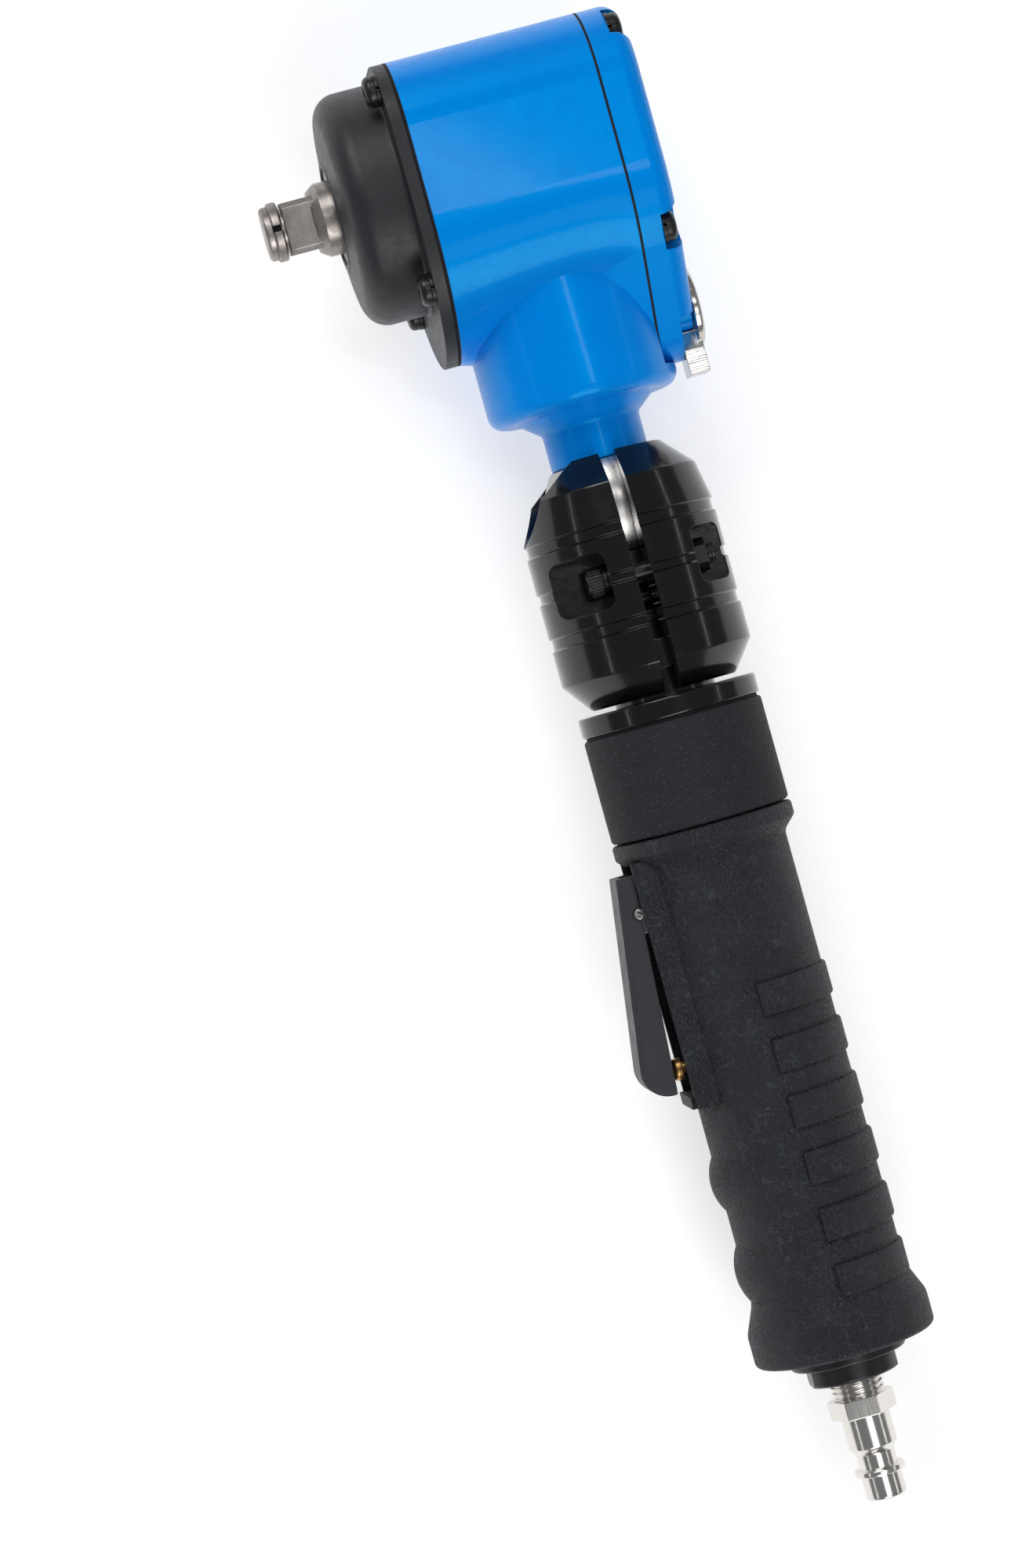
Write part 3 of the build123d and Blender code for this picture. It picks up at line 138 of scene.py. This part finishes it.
class Shader:
    """One material, with short calls for the nodes that most of them share."""

    def __init__(self, name, edge=0.35, **surface):
        self.material = bpy.data.materials.new(name)
        self.material.use_nodes = True
        self.tree = self.material.node_tree
        self.surface = self.tree.nodes["Principled BSDF"]
        self.place = self.add("ShaderNodeTexCoord").outputs["Object"]
        for socket, value in surface.items():
            self.surface.inputs[socket.replace("_", " ")].default_value = value
        bevel = self.add("ShaderNodeBevel", {"samples": SOFT_SAMPLES}, Radius=edge * MM)
        self.soft_edges = bevel.outputs["Normal"]

    def add(self, kind, settings=None, **inputs):
        node = self.tree.nodes.new(kind)
        for key, value in (settings or {}).items():
            setattr(node, key, value)
        for socket, value in inputs.items():
            self.feed(node.inputs[socket.replace("_", " ")], value)
        return node

    def feed(self, socket, value):
        if isinstance(value, bpy.types.NodeSocket):
            self.tree.links.new(value, socket)
        else:
            socket.default_value = value

    def noise(self, scale, detail=4.0, rough=0.55, stretch=None):
        where = self.place
        if stretch:
            where = self.add("ShaderNodeMapping", Vector=where, Scale=stretch).outputs["Vector"]
        node = self.add("ShaderNodeTexNoise", Vector=where, Scale=scale, Detail=detail, Roughness=rough)
        return node.outputs["Fac"]

    def range(self, value, low, high, start, end):
        """Maps value from low..high to start..end."""
        node = self.add("ShaderNodeMapRange", Value=value)
        for socket, number in zip(("From Min", "From Max", "To Min", "To Max"), (low, high, start, end)):
            node.inputs[socket].default_value = number
        return node.outputs["Result"]

    def spread(self, noise, start, end):
        """Maps the middle of a noise's values to start..end."""
        return self.range(noise, NOISE_LOW, NOISE_HIGH, start, end)

    def mix(self, factor, first, second):
        node = self.add("ShaderNodeMix", {"data_type": "RGBA"})
        self.feed(node.inputs["Factor"], factor)
        self.feed(node.inputs[MIX_A], first)
        self.feed(node.inputs[MIX_B], second)
        return node.outputs[MIX_RESULT]

    def math(self, operation, first, second):
        node = self.add("ShaderNodeMath", {"operation": operation})
        self.feed(node.inputs[0], first)
        self.feed(node.inputs[1], second)
        return node.outputs["Value"]

    def bump(self, height, depth):
        """A normal bent by height, up to depth in millimetres, on top of the softened edges."""
        node = self.add("ShaderNodeBump", Height=height, Distance=depth * MM, Strength=1.0,
                        Normal=self.soft_edges)
        return node.outputs["Normal"]

    def use(self, **links):
        for socket, value in links.items():
            self.feed(self.surface.inputs[socket.replace("_", " ")], value)
        return self.material


def blue_paint():
    """Thick gloss paint with slight orange peel."""
    paint = Shader("blue_paint", Coat_Weight=0.06, Coat_Roughness=0.08, Specular_IOR_Level=0.5,
                   Coat_Tint=(0.6, 0.85, 1.0, 1.0), Specular_Tint=(0.0, 0.75, 1.0, 1.0))
    deep, light = (0.0, 0.212, 0.72, 1.0), (0.0, 0.25, 0.80, 1.0)
    orange_peel = paint.noise(900.0, detail=2.0)
    return paint.use(
        Base_Color=paint.mix(paint.noise(45.0), deep, light),
        Roughness=paint.spread(paint.noise(220.0), 0.24, 0.34),
        Normal=paint.bump(orange_peel, 0.03),
    )


def black_finish(name, tone, smooth, rough, grain, depth, coat=0.0):
    """Painted, blasted or blackened metal, from gloss to matt. grain is a noise's scale."""
    finish = Shader(name, Coat_Weight=coat, Coat_Roughness=0.05, Specular_IOR_Level=0.35)
    light = [min(1.0, part * 1.7) for part in tone]
    return finish.use(
        Base_Color=finish.mix(finish.noise(120.0, detail=6.0), (*tone, 1.0), (*light, 1.0)),
        Roughness=finish.spread(finish.noise(400.0, detail=5.0), smooth, rough),
        Normal=finish.bump(finish.noise(grain, detail=3.0, rough=0.7), depth),
    )


def bright_metal(name, tone, smooth, rough, stretch=(1.0, 40.0, 40.0)):
    """Turned or ground metal: fine lines around the axis of turning."""
    metal = Shader(name, Metallic=1.0)
    dark = [part * 0.72 for part in tone]
    lines = metal.noise(60.0, detail=6.0, rough=0.6, stretch=stretch)
    return metal.use(
        Base_Color=metal.mix(metal.noise(90.0, detail=5.0), (*dark, 1.0), (*tone, 1.0)),
        Roughness=metal.spread(lines, smooth, rough),
        Normal=metal.bump(lines, 0.01),
    )


def leather_rubber():
    """Moulded rubber with a leather grain: raised islands between thin creases, with painted shade darkening
    the creases and recesses.
    """
    rubber = Shader("grip_rubber", edge=0.08, Specular_IOR_Level=0.35)
    island_dark, island_light = (0.013, 0.0148, 0.018, 1.0), (0.019, 0.021, 0.025, 1.0)
    crease_dark, crease_light = (0.019, 0.022, 0.028, 1.0), (0.038, 0.043, 0.054, 1.0)
    # painted shade: the near-black colour put into creases and recesses
    painted_shade_colour = (0.002, 0.002, 0.003, 1.0)

    drift = rubber.add("ShaderNodeTexNoise", Vector=rubber.place, Scale=380.0, Detail=3.0)
    shifted = rubber.add("ShaderNodeVectorMath", {"operation": "MULTIPLY_ADD"})
    rubber.feed(shifted.inputs[0], drift.outputs["Color"])
    rubber.feed(shifted.inputs[1], (1.1 * MM, 1.1 * MM, 1.1 * MM))
    rubber.feed(shifted.inputs[2], rubber.place)
    creases = []
    for scale in (560.0, 1150.0):
        cells = rubber.add("ShaderNodeTexVoronoi", {"feature": "DISTANCE_TO_EDGE"},
                           Vector=shifted.outputs["Vector"], Scale=scale)
        creases.append(rubber.range(cells.outputs["Distance"], 0.02, 0.12, 0.0, 1.0))
    large, small = creases
    fine = rubber.noise(5200.0, detail=2.0)
    height = rubber.math("ADD", large, rubber.math("MULTIPLY", small, 0.45))
    height = rubber.math("ADD", height, rubber.math("MULTIPLY", fine, 0.25))

    patches = rubber.range(rubber.noise(70.0, detail=3.0), 0.35, 0.65, 0.0, 1.0)
    wear = rubber.range(rubber.noise(160.0, detail=2.0), 0.35, 0.65, 0.0, 1.0)
    islands = rubber.mix(patches, island_dark, island_light)
    grain = rubber.mix(large, rubber.mix(wear, crease_dark, crease_light), islands)
    # Painted shade: ambient occlusion within 1.1 mm blends the colour to near black where the surface is
    # hemmed in.
    occlusion = rubber.add("ShaderNodeAmbientOcclusion", {"samples": SOFT_SAMPLES}, Distance=1.1 * MM)
    unshaded_amount = rubber.range(occlusion.outputs["AO"], 0.45, 0.95, 0.0, 1.0)
    return rubber.use(
        Base_Color=rubber.mix(unshaded_amount, painted_shade_colour, grain),
        Roughness=rubber.range(height, 0.0, 1.6, 0.72, 0.50),
        Normal=rubber.bump(height, 0.3),
    )


def sparkling_black():
    """Fine matt black with a scatter of tiny bright grains."""
    powder = Shader("speckle_black", Specular_IOR_Level=0.2)
    cells = powder.add("ShaderNodeTexVoronoi", Vector=powder.place, Scale=2100.0)
    grain = powder.range(cells.outputs["Distance"], 0.16, 0.26, 1.0, 0.0)
    chosen = powder.range(cells.outputs["Color"], 0.62, 0.70, 0.0, 1.0)
    sparkle = powder.math("MULTIPLY", grain, chosen)
    dark, light, bright = (0.015, 0.0165, 0.019, 1.0), (0.022, 0.024, 0.028, 1.0), (0.11, 0.12, 0.135, 1.0)
    tone = powder.mix(powder.noise(300.0, detail=5.0), dark, light)
    return powder.use(
        Base_Color=powder.mix(sparkle, tone, bright),
        Roughness=powder.spread(powder.noise(900.0), 0.6, 0.75),
        Normal=powder.bump(powder.noise(3400.0, detail=3.0, rough=0.7), 0.07),
    )


def burnished_steel():
    """Dark hardened steel with a brown cast and lighter rubbed patches."""
    steel = Shader("anvil_steel", Metallic=1.0)
    brown, rubbed = (0.20, 0.18, 0.165, 1.0), (0.42, 0.39, 0.37, 1.0)
    patches = steel.noise(160.0, detail=8.0, rough=0.7)
    lines = steel.noise(300.0, rough=0.6, stretch=(1.0, 0.12, 1.0))
    return steel.use(
        Base_Color=steel.mix(steel.range(patches, 0.35, 0.7, 0.0, 1.0), brown, rubbed),
        Roughness=steel.spread(patches, 0.48, 0.28),
        Normal=steel.bump(lines, 0.03),
    )


def fibre(name, tone, scale):
    """Felt, seals and resin: matt, slightly mottled."""
    cloth = Shader(name, Specular_IOR_Level=0.3)
    light = [min(1.0, part * 1.8) for part in tone]
    return cloth.use(
        Base_Color=cloth.mix(cloth.noise(scale, detail=8.0), (*tone, 1.0), (*light, 1.0)),
        Roughness=cloth.spread(cloth.noise(scale * 2), 0.65, 0.9),
        Normal=cloth.bump(cloth.noise(scale * 3), 0.08),
    )


def make_materials():
    """One material for each of the record's slots."""
    return {
        "blue_paint": blue_paint(),
        "case_black": black_finish("case_black", (0.013, 0.014, 0.0165), smooth=0.38, rough=0.50,
                                   grain=2600.0, depth=0.03),
        "gloss_black": black_finish("gloss_black", (0.0035, 0.0035, 0.004), smooth=0.12, rough=0.20,
                                    grain=700.0, depth=0.02, coat=0.25),
        "speckle_black": sparkling_black(),
        "grip_rubber": leather_rubber(),
        "lever_black": black_finish("lever_black", (0.020, 0.0215, 0.025), smooth=0.42, rough=0.56,
                                    grain=3000.0, depth=0.04),
        "black_screw": black_finish("black_screw", (0.006, 0.006, 0.007), smooth=0.22, rough=0.40,
                                    grain=1500.0, depth=0.02),
        "seal_black": fibre("seal_black", (0.008, 0.008, 0.009), scale=600.0),
        "steel": bright_metal("steel", (0.52, 0.505, 0.49), smooth=0.22, rough=0.40),
        "anvil_steel": burnished_steel(),
        "bronze": bright_metal("bronze", (0.62, 0.36, 0.13), smooth=0.22, rough=0.38),
        "cast_alloy": bright_metal("cast_alloy", (0.62, 0.62, 0.64), smooth=0.35, rough=0.5),
        "vane_resin": fibre("vane_resin", (0.20, 0.11, 0.05), scale=500.0),
        "felt": fibre("felt", (0.16, 0.16, 0.15), scale=900.0),
        "bushing_black": black_finish("bushing_black", (0.012, 0.012, 0.014), smooth=0.25, rough=0.4,
                                      grain=1500.0, depth=0.02),
        "nickel": bright_metal("nickel", (0.86, 0.83, 0.79), smooth=0.10, rough=0.22),
        "chrome": bright_metal("chrome", (0.66, 0.64, 0.61), smooth=0.10, rough=0.26,
                               stretch=(40.0, 1.0, 40.0)),
        "screen_mesh": bright_metal("screen_mesh", (0.5, 0.5, 0.5), smooth=0.3, rough=0.5),
    }


def dress_nodes(materials):
    """Gives every CAD node the material of its slot."""
    for part in frame["record"]["subparts"]:
        mesh = nodes[part["node"]].data
        mesh.materials.clear()
        mesh.materials.append(materials[part["material_slot"]])


# ---------------------------------------------------------------- turned details, in millimetres
KNURL_TEETH = 28
KNURL_DEPTH = 0.3
KNURL_INSET = 0.2               # how far the ring reaches into the screw's head
KNURL_LENGTH = 3.2
KNURL_SETBACK = 0.5             # from the end of the screw's head
KNURL_SLOPE = 1.4               # over 1, so that the teeth have flat crests
POINTS_TO_A_TOOTH = 6
THREAD_FLAT = 1 / 6             # of the pitch, at the crest and at the root
THREAD_INSET = 0.05             # how far a thread's skin reaches into its core
THREAD_LENGTH = 5.0
SCREW_ROOT, SCREW_CREST, SCREW_PITCH = 1.75, 2.2, 0.8
SCREW_TIP = 0.2                 # of the screw's end, without thread
PLUG_ROOT, PLUG_CREST, PLUG_PITCH = 5.95, 6.55, 1.34
PLUG_THREAD_START = 301.7


def turned_skin(name, body, slot, start, axis, inner, profile, length, steps, around=96):
    """A ring in millimetres: its outer radius is profile(distance, turn), and flat ends reach in to inner."""
    axis = Vector(axis)
    side = Vector((0.0, 0.0, 1.0))
    other = axis.cross(side)
    points, faces = [], []
    for step in range(steps + 3):
        along = min(max(step - 1, 0), steps) * length / steps
        for spoke in range(around):
            turn = spoke / around
            radius = inner if step in (0, steps + 2) else profile(along, turn)
            offset = side * cos(2 * pi * turn) + other * sin(2 * pi * turn)
            points.append((Vector(start) + axis * along + offset * radius) * MM)
    for step in range(steps + 2):
        for spoke in range(around):
            after = (spoke + 1) % around
            faces.append((step * around + spoke, step * around + after,
                          (step + 1) * around + after, (step + 1) * around + spoke))
    mesh = bpy.data.meshes.new(name)
    mesh.from_pydata(points, [], faces)
    mesh.materials.append(materials[slot])
    piece = bpy.data.objects.new(name, mesh)
    bpy.context.collection.objects.link(piece)
    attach(piece, body)


def knurl(root, crest, teeth):
    """Straight flutes round a screw head, with softened ends."""
    def radius(along, turn):
        tooth = abs((turn * teeth) % 1.0 - 0.5) * 2.0
        return root + (crest - root) * min(1.0, tooth * KNURL_SLOPE)
    return radius


def thread(root, crest, pitch):
    """A helical thread with flanks of equal slope."""
    def radius(along, turn):
        flank = abs((along / pitch - turn) % 1.0 - 0.5) * 2.0
        height = (flank - THREAD_FLAT) / (1.0 - 2.0 * THREAD_FLAT)
        return root + (crest - root) * min(1.0, max(0.0, height))
    return radius


def box_mm(node):
    """Lowest and highest corner of a CAD node, in millimetres."""
    return [[value / MM for value in corner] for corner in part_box(node)]


def add_turned_details():
    low, high = box_mm("clamp_screws")
    head = (high[0] - low[0]) / 2
    screw_x = (low[0] + high[0]) / 2
    screw_z = (high[2] - low[2]) / 2 - head
    thread_start = high[1] - SCREW_TIP - THREAD_LENGTH
    for label, way in (("upper", 1), ("lower", -1)):
        turned_skin("clamp_screw_knurl_" + label, "clamp", "black_screw",
                    start=(screw_x, low[1] + KNURL_SETBACK, way * screw_z), axis=(0, 1, 0),
                    inner=head - KNURL_INSET, profile=knurl(head, head + KNURL_DEPTH, KNURL_TEETH),
                    length=KNURL_LENGTH, steps=2, around=POINTS_TO_A_TOOTH * KNURL_TEETH)
        turned_skin("clamp_screw_thread_" + label, "clamp", "black_screw",
                    start=(screw_x, thread_start, way * screw_z), axis=(0, 1, 0),
                    inner=SCREW_ROOT - THREAD_INSET, profile=thread(SCREW_ROOT, SCREW_CREST, SCREW_PITCH),
                    length=THREAD_LENGTH, steps=50, around=48)
    turned_skin("plug_thread", "handle", "nickel", start=(PLUG_THREAD_START, AXIS_Y / MM, 0), axis=(1, 0, 0),
                inner=PLUG_ROOT - THREAD_INSET, profile=thread(PLUG_ROOT, PLUG_CREST, PLUG_PITCH),
                length=THREAD_LENGTH, steps=60)


materials = make_materials()
make_camera()
make_stage()
dress_nodes(materials)
add_turned_details()
